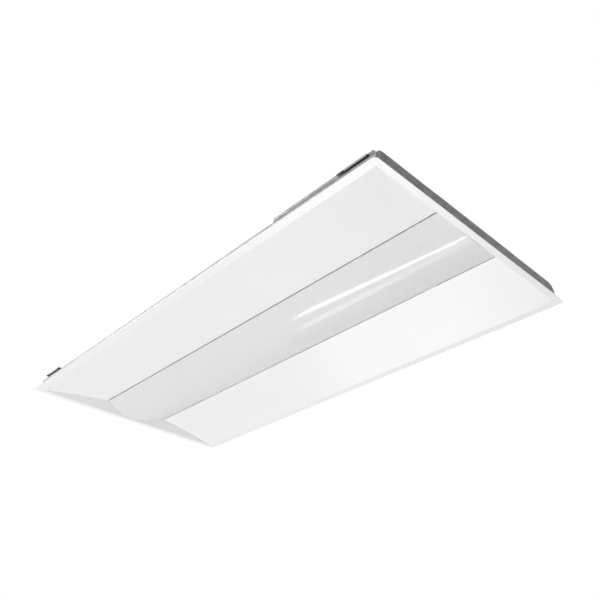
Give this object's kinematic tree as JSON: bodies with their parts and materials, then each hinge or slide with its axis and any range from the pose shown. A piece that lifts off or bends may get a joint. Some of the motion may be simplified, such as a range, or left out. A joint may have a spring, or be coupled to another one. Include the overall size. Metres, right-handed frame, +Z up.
{
  "type": "recessed troffer light",
  "caption": "Recessed ceiling light for a lay-in grid: coved white reflectors, a long frosted lens that swings down, a shallow steel back with wiring box and grid clips.",
  "frame": {"origin": "centre of the face flange's underside, the plane that rests on the ceiling grid", "axes": "+X along the length towards the wired end, +Y towards the side where the lens is hinged, +Z up into the ceiling"},
  "size_m": [1.213, 0.603, 0.082],
  "materials": {
    "face_white": "satin white powder coat on sheet steel",
    "galvanised": "galvanised sheet steel, dull",
    "chamber_white": "matt high-reflectance white",
    "driver_case": "pale satin case",
    "frosted_acrylic": "frosted white acrylic, satin gloss",
    "rail_steel": "zinc-plated",
    "white_plastic": "moulded white",
    "black_plastic": "moulded black",
    "bright_steel": "bright zinc",
    "spring_steel": "tempered strip",
    "circuit_board": "white solder mask",
    "ground_green": "green passivated"
  },
  "bodies": {
    "fixture": {"board_leads": "white_plastic", "board_links": "white_plastic", "board_plugs": "white_plastic", "board_screws": "bright_steel", "channel_cover": "galvanised", "channel_screws": "bright_steel", "clip_rivets": "bright_steel", "cover_box_leaves": "galvanised", "driver": "driver_case", "driver_screws": "bright_steel", "end_cap_far": "galvanised", "end_cap_near": "galvanised", "end_cap_screws": "bright_steel", "end_reflector_far": "face_white", "end_reflector_near": "face_white", "ground_screw": "ground_green", "housing_side_left": "galvanised", "housing_side_right": "galvanised", "led_board_1": "circuit_board", "led_board_2": "circuit_board", "led_board_3": "circuit_board", "led_board_4": "circuit_board", "led_tray": "chamber_white", "lens_catches": "spring_steel", "lens_hinge_fixed_leaves": "bright_steel", "reflector_left": "face_white", "reflector_right": "face_white", "supply_lead": "black_plastic", "wire_bushing": "black_plastic", "wire_connector": "white_plastic", "wiring_box": "galvanised", "wiring_box_end_far": "galvanised", "wiring_box_end_near": "galvanised", "wiring_box_screws": "bright_steel"},
    "lens_door": {"lens": "frosted_acrylic", "lens_rail_catch": "rail_steel", "lens_rail_hinge": "rail_steel", "lens_end_rib_near": "white_plastic", "lens_end_rib_far": "white_plastic", "lens_hinge_door_leaves": "bright_steel", "lens_hinge_pins": "bright_steel"},
    "wiring_cover": {"access_cover": "galvanised", "cover_lid_leaves": "galvanised", "cover_pins": "bright_steel"},
    "clip_near_right": {"grid_clip_near_right": "galvanised"},
    "clip_near_left": {"grid_clip_near_left": "galvanised"},
    "clip_far_right": {"grid_clip_far_right": "galvanised"},
    "clip_far_left": {"grid_clip_far_left": "galvanised"}
  },
  "joints": [
    {"name": "lens_hinge", "type": "hinge", "parent": "fixture", "child": "lens_door", "pos_m": [0, 0.0945, 0.0263], "axis": [1, 0, 0], "range_deg": [0, 90]},
    {"name": "wiring_cover_hinge", "type": "hinge", "parent": "fixture", "child": "wiring_cover", "pos_m": [0.4365, -0.1184, 0.0776], "axis": [-1, 0, 0], "range_deg": [0, 110]},
    {"name": "clip_near_right_swing", "type": "hinge", "parent": "fixture", "child": "clip_near_right", "pos_m": [0.587, 0.2619, 0.0406], "axis": [0, 0, -1], "range_deg": [0, 90]},
    {"name": "clip_near_left_swing", "type": "hinge", "parent": "fixture", "child": "clip_near_left", "pos_m": [0.5045, -0.2619, 0.0406], "axis": [0, 0, -1], "range_deg": [0, 90]},
    {"name": "clip_far_right_swing", "type": "hinge", "parent": "fixture", "child": "clip_far_right", "pos_m": [-0.5045, 0.2619, 0.0406], "axis": [0, 0, -1], "range_deg": [0, 90]},
    {"name": "clip_far_left_swing", "type": "hinge", "parent": "fixture", "child": "clip_far_left", "pos_m": [-0.587, -0.2619, 0.0406], "axis": [0, 0, -1], "range_deg": [0, 90]}
  ]
}
